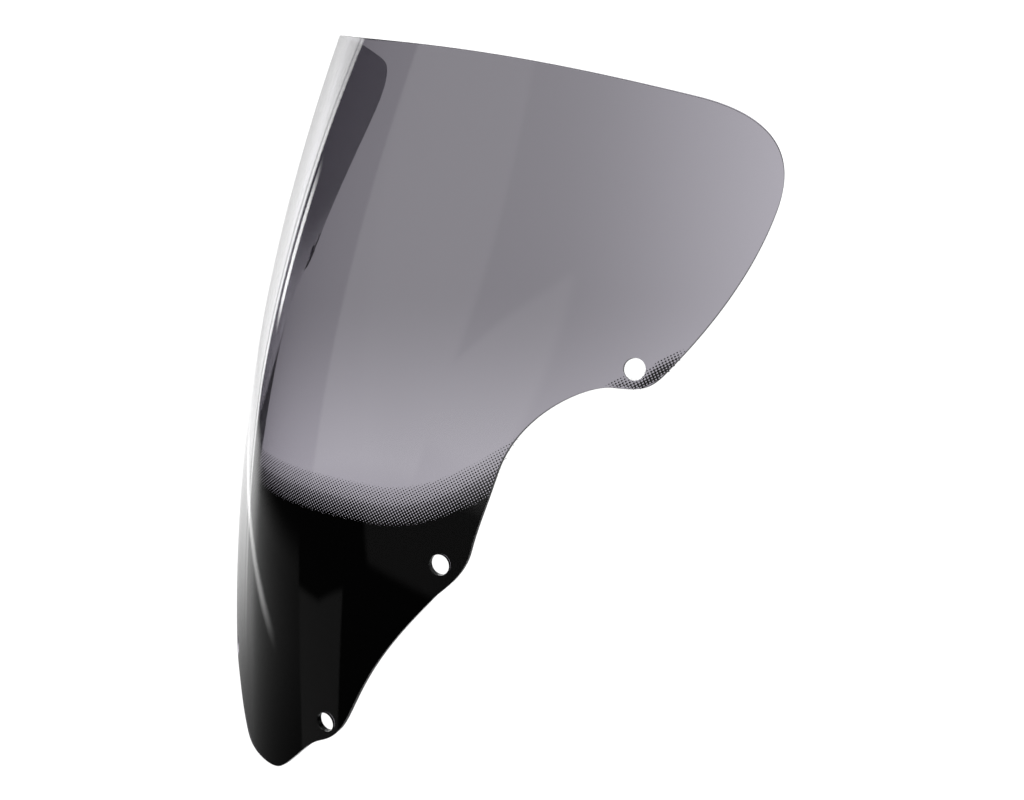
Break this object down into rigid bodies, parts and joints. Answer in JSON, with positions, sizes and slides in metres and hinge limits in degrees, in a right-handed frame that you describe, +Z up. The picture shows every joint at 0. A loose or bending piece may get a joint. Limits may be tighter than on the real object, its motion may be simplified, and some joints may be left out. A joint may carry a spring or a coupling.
{
  "type": "motorcycle windshield screen",
  "caption": "Bowed smoke-tinted acrylic motorcycle windscreen with a black printed nose, a halftone fade into the clear part, and bolt holes on ears along both sides.",
  "frame": {"origin": "nose tip of the outer face, on the centreline, at the sheet's lowest point", "axes": "+Z up the height of the screen, -Y forward (the side the convex outer face looks to), +X to the rider's left"},
  "size_m": [0.3598, 0.1871, 0.3689],
  "materials": {
    "smoke_acrylic": "smoke-tinted clear acrylic, polished both sides",
    "black_print": "opaque black screen print on the sheet's inner face",
    "halftone_print": "black screen print broken into halftone dots"
  },
  "bodies": {
    "root": {"screen_shell": "smoke_acrylic", "print_field": "black_print", "print_fade": "halftone_print", "tip_fade_left": "halftone_print", "tip_fade_right": "halftone_print"}
  },
  "joints": []
}
